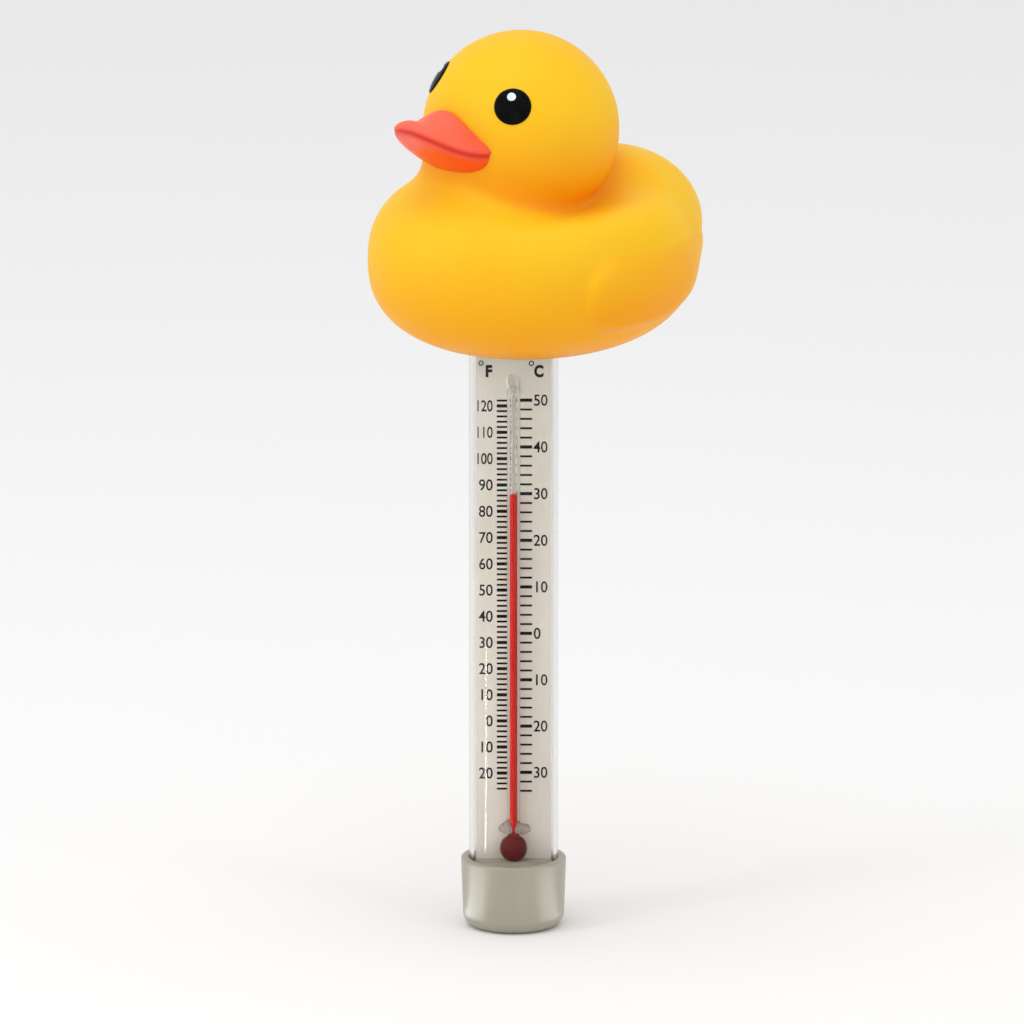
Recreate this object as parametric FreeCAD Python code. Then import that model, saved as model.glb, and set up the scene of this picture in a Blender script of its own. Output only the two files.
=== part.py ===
import FreeCAD, Part
import math
import os

# Floating pool thermometer: a hollow vinyl duck float on a clear tube that holds a scale card and a
# spirit-in-glass thermometer, ballasted at its foot.
#
# Row frame, millimetres: the origin is the centre of the flat foot of the lower cap, +Z runs up the
# tube's axis, and -Y is the side that the scale is read from.

V = FreeCAD.Vector
UP = V(0, 0, 1)
ORIGIN = V(0, 0, 0)

# --- driving dimensions ---------------------------------------------------------------------------
tube_od = 21.5
tube_wall = 1.0
tube_r = tube_od / 2
tube_bore_r = tube_r - tube_wall

cap_height = 17.0
cap_floor = 1.8
cap_foot_r = 12.15  # outer radius where the foot's rounding starts
cap_rim_r = 12.7
cap_foot_round = 3.3
cap_rim_round = 0.6
glue_gap = 0.05  # radial room for the solvent joint between cap and tube
shoulder_z = 8.0  # the tube's lower end stands on the gasket on this shoulder
gasket_thickness = 0.6

ballast_r = 9.3
ballast_top_z = 14.0
ballast_chamfer = 0.5
cushion_top_z = 15.9
cushion_clearance = 0.05  # between the cushion and the glass bulb

bulb_z = 18.9
bulb_r = 3.35
bulb_wall = 0.4
stem_r = 1.6
bore_r = 0.70
neck_z = 23.4  # narrowest point between the bulb and the capillary
neck_r = 1.0
neck_bore_r = 0.28
stem_start_z = 25.8  # the capillary has its full diameter from here up
stem_top_z = 133.0
stem_end_wall = 1.6  # solid glass above the bore
spirit_clearance = 0.08
column_gap = 0.05  # keeps the moving column off the liquid in the bulb
spirit_top_z = 106.7  # the level at rest, at the 30 degree Celsius mark

card_width = 18.6
card_thickness = 0.8
card_front_y = stem_r + 0.05  # the stem lies against the card's front face
card_bottom_z = 14.6
card_top_z = 147.0
card_corner_r = 2.0
card_bulb_hole_r = 3.1
slot_room = 0.1  # clearance round the card in the slots that hold its ends

lower_glue_z = 24.0
lower_glue_size = (4.0, 2.9, 2.3)  # half width, depth in front of the card, half height
upper_glue_z = 132.6
upper_glue_size = (3.2, 2.6, 3.0)

tube_bottom_z = shoulder_z + gasket_thickness
tube_top_z = 155.0
plug_depth = 9.0
plug_clearance = 0.02
plug_flange = 1.6
plug_flange_inset = 0.25
plug_headroom = 0.4  # between the plug and the collar's closed end

duck_heading = 41.0  # degrees the duck's bill is turned from -X towards the reader
vinyl_wall = 1.5
collar_wall = 1.9
collar_clearance = 0.08
collar_bottom_z = 140.0
collar_recess = 0.3  # how far the sleeve's foot stays inside the duck's outer surface
collar_top_z = 159.0
collar_flange_r = 17.0
collar_flange_top_z = 144.6
seal_z = 150.0
seal_section_r = 0.6
seal_clearance = 0.04
groove_room = 0.06

# The duck's forms are given in its own frame: +X forward and +Y to its left, before it is turned.
body_centre = (-6.0, 0.0, 164.3)
body_radii = (41.5, 36.5, 23.5)
body_power = 2.42  # superellipse power of the body's upright section
tail_centre = (-34.3, 0.0, 172.0)
tail_radii = (16.6, 20.2, 14.7)
tail_pitch = -11.0  # a negative pitch lifts the front end
wing_front_x = 7.2
wing_back_x = -41.0
wing_bottom_z = 150.7
wing_top_z = 170.2
wing_corner_r = 8.0
wing_root_y = 6.0  # the wings' relief starts this far from the middle
wing_rise = 1.6  # how far the wings stand out from the body's side
shoulder_centre = (-3.0, 20.0, 189.2)  # the dip in the body's top on the left of the head
shoulder_radii = (26.0, 17.0, 11.5)
shoulder_right_lift = 4.0  # the dip on the right is this much shallower
head_centre = (-2.35, 0.0, 195.7)
head_r = 23.5

upper_bill_centre = (19.0, 0.0, 197.0)
upper_bill_radii = (15.8, 12.8, 4.4)
upper_bill_pitch = -14.0
lower_bill_centre = (17.5, 0.0, 192.2)
lower_bill_radii = (12.0, 11.0, 4.4)
lower_bill_pitch = -6.0

left_eye_at = (43.6, 23.8)  # bearing from straight ahead, positive to the left, and latitude
right_eye_at = (-40.5, 32.5)
eye_r = 4.45
eye_thickness = 0.35
glint_r = 1.05
glint_thickness = 0.12
glint_shift = (0.02, 0.0, 0.11)  # from the eye's direction, upwards and a little ahead


# --- small helpers --------------------------------------------------------------------------------
def ring(r_out, r_in, z0, z1):
    """A plain tube between two heights."""
    outer = Part.makeCylinder(r_out, z1 - z0, V(0, 0, z0))
    return outer.cut(Part.makeCylinder(r_in, z1 - z0, V(0, 0, z0)))


def revolved(points):
    """The solid swept about Z by a closed outline of (radius, height) points."""
    wire = Part.makePolygon([V(r, 0, z) for r, z in points + points[:1]])
    return Part.Face(wire).revolve(ORIGIN, UP, 360)


def round_edges(shape, radius, wanted):
    """Rounds the edges for which wanted(edge) holds."""
    edges = [e for e in shape.Edges if wanted(e)]
    return shape.makeFillet(radius, edges)


def circle_at(edge, z, r):
    """True if edge is a full circle of that radius at that height."""
    curve = getattr(edge, "Curve", None)
    if not isinstance(curve, Part.Circle):
        return False
    return abs(curve.Center.z - z) < 0.01 and abs(curve.Radius - r) < 0.01


def scaled(shape, sx, sy, sz):
    matrix = FreeCAD.Matrix()
    matrix.scale(sx, sy, sz)
    return shape.transformGeometry(matrix)


def in_row_frame(shape):
    """Turns a shape from the duck's frame (+X forward, +Y to its left) to the row frame."""
    placed = shape.copy()
    placed.rotate(ORIGIN, UP, 180 + duck_heading)
    return placed


# --- lower end ------------------------------------------------------------------------------------
def lower_cap():
    """Cup that closes the tube: drafted outside, a pocket for the ballast and a shoulder inside."""
    cup = revolved([(0, 0), (cap_foot_r, 0), (cap_rim_r, cap_height), (0, cap_height)])
    cup = round_edges(cup, cap_foot_round, lambda e: circle_at(e, 0, cap_foot_r))
    cup = round_edges(cup, cap_rim_round, lambda e: circle_at(e, cap_height, cap_rim_r))
    socket = Part.makeCylinder(tube_r + glue_gap, cap_height, V(0, 0, shoulder_z))
    pocket = Part.makeCylinder(tube_bore_r, cap_height, V(0, 0, cap_floor))
    return cup.cut(socket).cut(pocket)


def cap_gasket():
    return ring(tube_r, tube_bore_r, shoulder_z, tube_bottom_z)


def ballast():
    """Steel slug with a chamfered edge, standing on the cap's floor."""
    slug = Part.makeCylinder(ballast_r, ballast_top_z - cap_floor, V(0, 0, cap_floor))
    ends = [e for e in slug.Edges if isinstance(e.Curve, Part.Circle)]
    return slug.makeChamfer(ballast_chamfer, ends)


def card_slot(z0, z1):
    """Room for the card's end, between two heights."""
    return Part.makeBox(
        card_width + 2 * slot_room,
        card_thickness + 2 * slot_room,
        z1 - z0,
        V(-card_width / 2 - slot_room, card_front_y - slot_room, z0),
    )


def bulb_cushion():
    """Foam disc over the ballast, slotted for the card and dished under the glass bulb."""
    disc = Part.makeCylinder(ballast_r, cushion_top_z - ballast_top_z, V(0, 0, ballast_top_z))
    disc = disc.cut(Part.makeSphere(bulb_r + cushion_clearance, V(0, 0, bulb_z)))
    return disc.cut(card_slot(card_bottom_z - slot_room, cushion_top_z + slot_room))


# --- tube and its contents ------------------------------------------------------------------------
def clear_tube():
    return ring(tube_r, tube_bore_r, tube_bottom_z, tube_top_z)


def tube_plug():
    """Rubber bung in the tube's upper end, slotted below to hold the card's upper edge."""
    foot_z = tube_top_z - plug_depth
    stem = Part.makeCylinder(tube_bore_r - plug_clearance, plug_depth, V(0, 0, foot_z))
    flange = Part.makeCylinder(tube_r - plug_flange_inset, plug_flange, V(0, 0, tube_top_z))
    plug = stem.fuse(flange).removeSplitter()
    return plug.cut(card_slot(foot_z - slot_room, card_top_z + slot_room))


def scale_card():
    """Flat plastic strip with rounded corners and a hole that the bulb sits in."""
    height = card_top_z - card_bottom_z
    corner = V(-card_width / 2, card_front_y, card_bottom_z)
    strip = Part.makeBox(card_width, card_thickness, height, corner)
    across = [e for e in strip.Edges if abs(e.tangentAt(e.FirstParameter).y) > 0.99]
    strip = strip.makeFillet(card_corner_r, across)
    hole_depth = card_front_y + 2 * card_thickness
    hole = Part.makeCylinder(card_bulb_hole_r, hole_depth, V(0, 0, bulb_z), V(0, 1, 0))
    return strip.cut(hole)


def on_arc(centre_z, radius, degrees):
    """Point on a circle centred on the axis, the angle measured up from +X."""
    a = math.radians(degrees)
    return V(radius * math.cos(a), 0, centre_z + radius * math.sin(a))


def stem_outline(r_bulb, r_neck, r_stem, z_end):
    """Outline of the bulb, neck and round-ended capillary, for the glass, its bore or the liquid."""
    join_r = (r_bulb + 3 * r_neck) / 4  # where the bulb's sphere hands over to the neck
    join_angle = math.degrees(math.acos(join_r / r_bulb))
    low = on_arc(bulb_z, r_bulb, -90)
    side = on_arc(bulb_z, r_bulb, 0)
    join = on_arc(bulb_z, r_bulb, join_angle)
    neck = V(r_neck, 0, neck_z)
    start = V(r_stem, 0, stem_start_z)
    end_centre_z = z_end - r_stem
    shoulder = on_arc(end_centre_z, r_stem, 0)
    tip = on_arc(end_centre_z, r_stem, 90)
    edges = [
        Part.Arc(low, on_arc(bulb_z, r_bulb, -45), side).toShape(),
        Part.Arc(side, on_arc(bulb_z, r_bulb, join_angle / 2), join).toShape(),
        Part.LineSegment(join, neck).toShape(),
        Part.LineSegment(neck, start).toShape(),
        Part.LineSegment(start, shoulder).toShape(),
        Part.Arc(shoulder, on_arc(end_centre_z, r_stem, 45), tip).toShape(),
        Part.LineSegment(tip, low).toShape(),
    ]
    return Part.Face(Part.Wire(edges))


def stem_form():
    """The outside of the glass as a solid body."""
    return stem_outline(bulb_r, neck_r, stem_r, stem_top_z).revolve(ORIGIN, UP, 360)


def glass_stem():
    """Blown glass: a capillary closed at its top and opening into the bulb at its foot."""
    bore = stem_outline(bulb_r - bulb_wall, neck_bore_r, bore_r, stem_top_z - stem_end_wall)
    return stem_form().cut(bore.revolve(ORIGIN, UP, 360))


def spirit():
    """The whole body of liquid, from the bulb to the level in the capillary."""
    gap = spirit_clearance
    outline = stem_outline(bulb_r - bulb_wall - gap, neck_bore_r - gap, bore_r - gap, spirit_top_z)
    return outline.revolve(ORIGIN, UP, 360)


def spirit_above(z):
    """The part of the liquid above a height."""
    half = bulb_r
    room = Part.makeBox(2 * half, 2 * half, stem_top_z - z, V(-half, -half, z))
    return spirit().common(room)


def spirit_bulb():
    """The part of the liquid that stays in the bulb."""
    return spirit().cut(spirit_above(neck_z))


def spirit_column():
    """The part of the liquid that rises and falls, from just above the neck's narrowest point."""
    return spirit_above(neck_z + column_gap)


def glue_dab(z, size):
    """Low dome of clear adhesive on the card's face, moulded round the stem."""
    half_width, depth, half_height = size
    dome = scaled(Part.makeSphere(1), half_width, depth, half_height)
    dome.translate(V(0, card_front_y, z))
    corner = V(-half_width, card_front_y - depth, z - half_height)
    front = Part.makeBox(2 * half_width, depth, 2 * half_height, corner)
    return dome.common(front).cut(stem_form())


def lower_glue():
    return glue_dab(lower_glue_z, lower_glue_size)


def upper_glue():
    return glue_dab(upper_glue_z, upper_glue_size)


# --- duck float -----------------------------------------------------------------------------------
def ellipsoid(centre, radii, pitch=0, yaw=0):
    blob = scaled(Part.makeSphere(1), *radii)
    blob.rotate(ORIGIN, V(0, 1, 0), pitch)
    blob.rotate(ORIGIN, UP, yaw)
    blob.translate(V(*centre))
    return blob


def body_form(inset):
    """Body: an ellipse in plan and a superellipse upright, shrunk by the inset."""
    power = 2 / body_power
    steps = 12
    angles = [math.radians(-90 + 180 * i / steps) for i in range(steps + 1)]
    points = []
    for a in angles:
        r = abs(math.cos(a)) ** power
        z = math.copysign(abs(math.sin(a)) ** power, a)
        points.append(V(r, 0, z))
    points[0] = V(0, 0, -1)
    points[-1] = V(0, 0, 1)
    curve = Part.BSplineCurve()
    curve.interpolate(Points=points, InitialTangent=V(1, 0, 0), FinalTangent=V(-1, 0, 0))
    half = Part.Wire([curve.toShape(), Part.LineSegment(points[-1], points[0]).toShape()])
    form = Part.Face(half).revolve(ORIGIN, UP, 360)
    form = scaled(form, *[r - inset for r in body_radii])
    form.translate(V(*body_centre))
    return form


def wing_outline(inset):
    """Block with rounded corners that limits the wings' relief, seen from the duck's side."""
    length = wing_front_x - wing_back_x - 2 * inset
    height = wing_top_z - wing_bottom_z - 2 * inset
    reach = body_radii[1] + 2 * wing_rise
    block = Part.makeBox(length, reach, height, V(wing_back_x + inset, 0, wing_bottom_z + inset))
    across = [e for e in block.Edges if abs(e.tangentAt(e.FirstParameter).y) > 0.99]
    return block.makeFillet(wing_corner_r - inset, across)


def wings(inset):
    """Both wings: the body's form swollen by their rise, kept inside their outline."""
    block = wing_outline(inset)
    block.translate(V(0, wing_root_y + inset, 0))
    other = block.mirror(ORIGIN, V(0, 1, 0))
    swollen = body_form(inset - wing_rise)
    return [swollen.common(block), swollen.common(other)]


def duck_form(inset):
    """Body, tail, wings and head as one solid, every surface moved in by the inset."""
    form = body_form(inset)
    form = form.fuse(ellipsoid(tail_centre, [r - inset for r in tail_radii], tail_pitch))
    x, y, z = shoulder_centre
    radii = [r + inset for r in shoulder_radii]
    form = form.cut(ellipsoid((x, y, z), radii))
    form = form.cut(ellipsoid((x, -y, z + shoulder_right_lift), radii))
    for wing in wings(inset):
        form = form.fuse(wing)
    return form.fuse(Part.makeSphere(head_r - inset, V(*head_centre)))


def float_shell():
    """Hollow vinyl duck with a round opening below for the collar."""
    shell = in_row_frame(duck_form(0).cut(duck_form(vinyl_wall)))
    opening_r = tube_r + collar_clearance + collar_wall
    below_z = body_centre[2] - body_radii[2] - 1
    opening = Part.makeCylinder(opening_r, collar_top_z - below_z, V(0, 0, below_z))
    return shell.cut(opening)


def float_collar():
    """Blind socket that the tube's end turns in, with a flange bonded to the skin's inner face."""
    inner = tube_r + collar_clearance
    base = V(0, 0, collar_bottom_z)
    sleeve = Part.makeCylinder(inner + collar_wall, collar_top_z - collar_bottom_z, base)
    sleeve = sleeve.common(in_row_frame(body_form(collar_recess)))
    flange = Part.makeCylinder(collar_flange_r, collar_flange_top_z - collar_bottom_z, base)
    flange = flange.common(in_row_frame(body_form(vinyl_wall)))
    room_top_z = tube_top_z + plug_flange + plug_headroom
    room = Part.makeCylinder(inner, room_top_z - collar_bottom_z, base)
    groove = Part.makeTorus(inner + seal_section_r, seal_section_r + groove_room, V(0, 0, seal_z))
    return sleeve.fuse(flange).cut(room).cut(groove)


def collar_seal():
    """O-ring in the collar's groove, which grips and seals the tube."""
    return Part.makeTorus(tube_r + seal_clearance + seal_section_r, seal_section_r, V(0, 0, seal_z))


def beak():
    """Bill: a broad upper mandible over a narrower lower one, seated on the head."""
    upper = ellipsoid(upper_bill_centre, upper_bill_radii, upper_bill_pitch)
    lower = ellipsoid(lower_bill_centre, lower_bill_radii, lower_bill_pitch)
    bill = upper.fuse(lower)
    return in_row_frame(bill.cut(Part.makeSphere(head_r, V(*head_centre))))


def eye_direction(place):
    bearing, latitude = (math.radians(angle) for angle in place)
    level = math.cos(latitude)
    return V(level * math.cos(bearing), level * math.sin(bearing), math.sin(latitude))


def head_pad(direction, radius, inner_r, outer_r):
    """Thin round pad that follows the head's curve, between two radii from its centre."""
    centre = V(*head_centre)
    pad = Part.makeSphere(outer_r, centre).cut(Part.makeSphere(inner_r, centre))
    return pad.common(Part.makeCylinder(radius, outer_r + 1, centre, direction))


def eye(place):
    return in_row_frame(head_pad(eye_direction(place), eye_r, head_r, head_r + eye_thickness))


def eye_glint(place):
    """White dot on the upper part of an eye, set on the eye's face."""
    direction = eye_direction(place) + V(*glint_shift)
    direction.normalize()
    base = head_r + eye_thickness
    return in_row_frame(head_pad(direction, glint_r, base, base + glint_thickness))


# --- output ---------------------------------------------------------------------------------------
NODES = {
    "lower_cap": lower_cap,
    "cap_gasket": cap_gasket,
    "ballast": ballast,
    "bulb_cushion": bulb_cushion,
    "clear_tube": clear_tube,
    "tube_plug": tube_plug,
    "scale_card": scale_card,
    "glass_stem": glass_stem,
    "spirit_bulb": spirit_bulb,
    "spirit_column": spirit_column,
    "lower_glue": lower_glue,
    "upper_glue": upper_glue,
    "float_shell": float_shell,
    "float_collar": float_collar,
    "collar_seal": collar_seal,
    "beak": beak,
    "left_eye": lambda: eye(left_eye_at),
    "right_eye": lambda: eye(right_eye_at),
    "left_eye_glint": lambda: eye_glint(left_eye_at),
    "right_eye_glint": lambda: eye_glint(right_eye_at),
}


def main():
    os.makedirs("parts", exist_ok=True)
    for name, make in NODES.items():
        shape = make()
        shape.exportStep(f"parts/{name}.step")
        print(name, len(shape.Solids), "solids", round(shape.Volume, 1), "mm3", shape.isValid())


main()
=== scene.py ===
import math

import bmesh
import bpy
import numpy as np
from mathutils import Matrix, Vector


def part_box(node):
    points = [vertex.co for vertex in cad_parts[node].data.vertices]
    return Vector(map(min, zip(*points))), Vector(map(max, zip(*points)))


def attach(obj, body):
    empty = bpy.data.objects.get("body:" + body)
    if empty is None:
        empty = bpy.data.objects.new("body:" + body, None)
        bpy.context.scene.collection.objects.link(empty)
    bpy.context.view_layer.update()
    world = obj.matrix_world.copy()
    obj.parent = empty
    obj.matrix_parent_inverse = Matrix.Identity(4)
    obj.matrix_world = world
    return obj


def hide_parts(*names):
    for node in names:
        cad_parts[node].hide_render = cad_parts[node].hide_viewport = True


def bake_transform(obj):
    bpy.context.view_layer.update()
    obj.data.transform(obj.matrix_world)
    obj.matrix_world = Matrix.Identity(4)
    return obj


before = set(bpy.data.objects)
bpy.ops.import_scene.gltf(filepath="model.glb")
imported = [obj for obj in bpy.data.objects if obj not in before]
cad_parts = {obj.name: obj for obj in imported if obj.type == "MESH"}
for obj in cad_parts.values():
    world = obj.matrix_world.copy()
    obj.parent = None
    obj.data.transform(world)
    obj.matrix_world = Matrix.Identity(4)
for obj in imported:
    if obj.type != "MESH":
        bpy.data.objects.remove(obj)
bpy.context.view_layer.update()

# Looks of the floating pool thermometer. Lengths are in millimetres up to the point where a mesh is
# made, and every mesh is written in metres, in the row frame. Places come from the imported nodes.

import openvdb
from mathutils import Matrix, Vector

MM = 0.001


def box_mm(node):
    """Lowest and highest corner of a CAD node, in millimetres."""
    lo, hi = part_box(node)
    return Vector(lo) / MM, Vector(hi) / MM


TUBE_LO, TUBE_HI = box_mm("clear_tube")
TUBE_R = TUBE_HI.x
TUBE_WALL = 1.0
CAP_HI = box_mm("lower_cap")[1]
CARD_LO, CARD_HI = box_mm("scale_card")
CARD_FRONT = CARD_LO.y
STEM_LO, STEM_HI = box_mm("glass_stem")
BULB_R = STEM_HI.x
BULB_Z = STEM_LO.z + BULB_R
STEM_R = 1.6
BORE_R = 0.66
BULB_WALL = 0.4
NECK_R = 1.0
NECK_BORE_R = 0.24
NECK_Z = 23.4
STEM_START_Z = 25.8
WETTING = 0.01  # how far the liquid reaches into the glass, so that no air shows between them
SHELL_LO, SHELL_HI = box_mm("float_shell")
LEVEL_Z = box_mm("spirit_column")[1].z


# --- mesh helpers ---------------------------------------------------------------------------------
def place_mesh(name, mesh):
    """A scene object that shows the mesh."""
    obj = bpy.data.objects.new(name, mesh)
    bpy.context.scene.collection.objects.link(obj)
    return obj


def place_bmesh(name, bm, mesh_name=None):
    """A scene object from a working mesh, which is freed."""
    mesh = bpy.data.meshes.new(mesh_name or name)
    bm.to_mesh(mesh)
    bm.free()
    return place_mesh(name, mesh)


def shade_smooth(mesh):
    mesh.polygons.foreach_set("use_smooth", [True] * len(mesh.polygons))


def new_object(name, verts, faces):
    """A smooth-shaded object from points in millimetres, its faces turned outward."""
    mesh = bpy.data.meshes.new(name)
    mesh.from_pydata([Vector(v) * MM for v in verts], [], faces)
    mesh.validate()
    bm = bmesh.new()
    bm.from_mesh(mesh)
    bmesh.ops.recalc_face_normals(bm, faces=bm.faces)
    bm.to_mesh(mesh)
    bm.free()
    shade_smooth(mesh)
    return place_mesh(name, mesh)


def without_repeats(corners):
    return [c for k, c in enumerate(corners) if c not in corners[:k]]


def lathe(name, profile, segments=128, crease_angle=35.0):
    """A closed body turned about Z from a closed outline of (radius, height) points.

    Points on the axis become one vertex each.
    """
    verts, rings = [], []
    for r, z in profile:
        if r < 1e-6:
            rings.append([len(verts)] * segments)
            verts.append((0, 0, z))
            continue
        rings.append(list(range(len(verts), len(verts) + segments)))
        for i in range(segments):
            a = 2 * math.pi * i / segments
            verts.append((r * math.cos(a), r * math.sin(a), z))
    faces = []
    for lower, upper in zip(rings, rings[1:] + rings[:1]):
        for i in range(segments):
            j = (i + 1) % segments
            face = without_repeats([lower[i], lower[j], upper[j], upper[i]])
            if len(face) > 2:
                faces.append(face)
    obj = new_object(name, verts, faces)
    sharpen(obj, crease_angle)
    return obj


def sharpen(obj, degrees):
    """Marks edges sharper than the angle, so that smooth shading stops at them."""
    bm = bmesh.new()
    bm.from_mesh(obj.data)
    limit = math.radians(degrees)
    for edge in bm.edges:
        if len(edge.link_faces) == 2 and edge.calc_face_angle() > limit:
            edge.smooth = False
    bm.to_mesh(obj.data)
    bm.free()


def arc(cx, cz, r, start, end, steps):
    """Points of a circular arc in the (radius, height) plane, angles in degrees from +radius."""
    points = []
    for i in range(steps + 1):
        a = math.radians(start + (end - start) * i / steps)
        points.append((cx + r * math.cos(a), cz + r * math.sin(a)))
    return points


def round_rectangle(x0, x1, z0, z1, corner, steps):
    """Outline of a rectangle with round corners."""
    corners = (
        (x1 - corner, z0 + corner, -90),
        (x1 - corner, z1 - corner, 0),
        (x0 + corner, z1 - corner, 90),
        (x0 + corner, z0 + corner, 180),
    )
    outline = []
    for x, z, start in corners:
        outline += arc(x, z, corner, start, start + 90, steps)
    return outline


# --- distance fields ------------------------------------------------------------------------------
def ellipsoid(p, centre, radii, pitch=0.0):
    """Approximate distance to an ellipsoid pitched about Y by degrees, front down."""
    x, y, z = (c - o for c, o in zip(p, centre))
    a = math.radians(pitch)
    x, z = math.cos(a) * x - math.sin(a) * z, math.cos(a) * z + math.sin(a) * x
    rx, ry, rz = radii
    k0 = np.sqrt((x / rx) ** 2 + (y / ry) ** 2 + (z / rz) ** 2)
    k1 = np.sqrt((x / rx**2) ** 2 + (y / ry**2) ** 2 + (z / rz**2) ** 2)
    return k0 * (k0 - 1) / np.maximum(k1, 1e-6)


def pebble(p, centre, radii, power):
    """Approximate distance to a form that is an ellipse in plan and a superellipse upright."""
    rx, ry, rz = radii
    x, y, z = ((c - o) / r for c, o, r in zip(p, centre, radii))
    z = np.abs(z)
    rho = np.sqrt(x * x + y * y) + 1e-6
    s = rho**power + z**power
    k = s ** (1 / power)
    pre = np.maximum(s, 1e-9) ** (1 / power - 1)
    g = rho ** (power - 1) * pre
    gx, gy, gz = g * x / rho / rx, g * y / rho / ry, z ** (power - 1) * pre / rz
    return (k - 1) / np.maximum(np.sqrt(gx * gx + gy * gy + gz * gz), 1e-6)


def blend_union(a, b, k):
    """Union of two fields with a fillet about k wide."""
    h = np.maximum(k - np.abs(a - b), 0) / k
    return np.minimum(a, b) - h * h * k / 4


def blend_cut(a, b, k):
    """Field a with b cut out of it, with a fillet about k wide."""
    return -blend_union(-a, b, k)


def ramp(x, start, end):
    """Smooth step from 0 at start to 1 at end."""
    t = np.clip((x - start) / (end - start), 0, 1)
    return t * t * (3 - 2 * t)


def field_mesh(name, field, low, high, voxel):
    """Quad mesh of the surface where the field is zero; returns the object and its points."""
    axes = [np.arange(a, b + voxel, voxel) for a, b in zip(low, high)]
    x, y, z = np.meshgrid(*axes, indexing="ij", sparse=True)
    shape = tuple(len(a) for a in axes)
    values = np.broadcast_to(field((x, y, z)), shape).astype(np.float32)
    band = 3 * voxel
    grid = openvdb.FloatGrid(background=float(band))
    grid.copyFromArray(np.ascontiguousarray(np.clip(values, -band, band)))
    points, quads = grid.convertToQuads(isovalue=0.0)
    points = np.array(points, float) * voxel + np.array(low, float)
    mesh = bpy.data.meshes.new(name)
    mesh.from_pydata((points * MM).tolist(), [], np.array(quads).tolist())
    shade_smooth(mesh)
    return place_mesh(name, mesh), points


def relax(obj, rounds):
    """Evens out the small steps that the grid leaves along tight folds."""
    bm = bmesh.new()
    bm.from_mesh(obj.data)
    for _ in range(rounds):
        bmesh.ops.smooth_vert(
            bm, verts=bm.verts, factor=0.5, use_axis_x=True, use_axis_y=True, use_axis_z=True
        )
    bm.to_mesh(obj.data)
    bm.free()


# --- shader helpers -------------------------------------------------------------------------------
class Nodes:
    """Small wrapper that builds a material's node tree."""

    def __init__(self, name):
        self.material = bpy.data.materials.new(name)
        self.material.use_nodes = True
        self.tree = self.material.node_tree
        self.tree.nodes.clear()
        self.output = self.add("ShaderNodeOutputMaterial")

    def add(self, kind, inputs=None, **props):
        node = self.tree.nodes.new(kind)
        for key, value in props.items():
            setattr(node, key, value)
        for key, value in (inputs or {}).items():
            self.put(node.inputs[key], value)
        return node

    def put(self, socket, value):
        if isinstance(value, bpy.types.NodeSocket):
            self.tree.links.new(value, socket)
        else:
            socket.default_value = value

    def place(self):
        return self.add("ShaderNodeTexCoord").outputs["Object"]

    def noise(self, scale, detail=3.0, rough=0.5, stretch=None):
        """Noise over the piece, scale in cycles per metre."""
        vector = self.place()
        if stretch:
            mapping = self.add("ShaderNodeMapping", {"Vector": vector, "Scale": stretch})
            vector = mapping.outputs["Vector"]
        inputs = {"Vector": vector, "Scale": scale, "Detail": detail, "Roughness": rough}
        return self.add("ShaderNodeTexNoise", inputs).outputs["Fac"]

    def spread(self, value, low, high, to_low=0.0, to_high=1.0):
        """Maps low..high to to_low..to_high, held at both ends."""
        inputs = {
            "Value": value,
            "From Min": low,
            "From Max": high,
            "To Min": to_low,
            "To Max": to_high,
        }
        return self.add("ShaderNodeMapRange", inputs).outputs["Result"]

    def mix(self, factor, a, b):
        node = self.add("ShaderNodeMix", data_type="RGBA")
        self.put(node.inputs[0], factor)
        self.put(node.inputs[6], a)
        self.put(node.inputs[7], b)
        return node.outputs[2]

    def maths(self, how, a, b):
        node = self.add("ShaderNodeMath", operation=how)
        self.put(node.inputs[0], a)
        self.put(node.inputs[1], b)
        return node.outputs[0]

    def attribute(self, name):
        return self.add("ShaderNodeAttribute", attribute_name=name).outputs["Fac"]

    def bump(self, height, distance, strength=1.0):
        inputs = {"Height": height, "Distance": distance, "Strength": strength}
        return self.add("ShaderNodeBump", inputs).outputs["Normal"]

    def shader(self, inputs):
        self.finish(self.add("ShaderNodeBsdfPrincipled", inputs).outputs[0])

    def finish(self, socket):
        self.tree.links.new(socket, self.output.inputs["Surface"])

    def clear(self, inputs, shade):
        """Glass that lamps shine through, tinting their light by shade."""
        glass = self.add("ShaderNodeBsdfPrincipled", inputs)
        open_side = self.add("ShaderNodeBsdfTransparent", {"Color": shade})
        path = self.add("ShaderNodeLightPath")
        both = self.add("ShaderNodeMixShader", {0: path.outputs["Is Shadow Ray"]})
        self.tree.links.new(glass.outputs[0], both.inputs[1])
        self.tree.links.new(open_side.outputs[0], both.inputs[2])
        self.finish(both.outputs[0])


def rgb(r, g, b):
    """Linear colour of an sRGB colour given from 0 to 255."""
    parts = []
    for c in (r, g, b):
        c /= 255
        parts.append(c / 12.92 if c <= 0.04045 else ((c + 0.055) / 1.055) ** 2.4)
    return (*parts, 1.0)


def paint(obj, material):
    obj.data.materials.clear()
    obj.data.materials.append(material)


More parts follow.
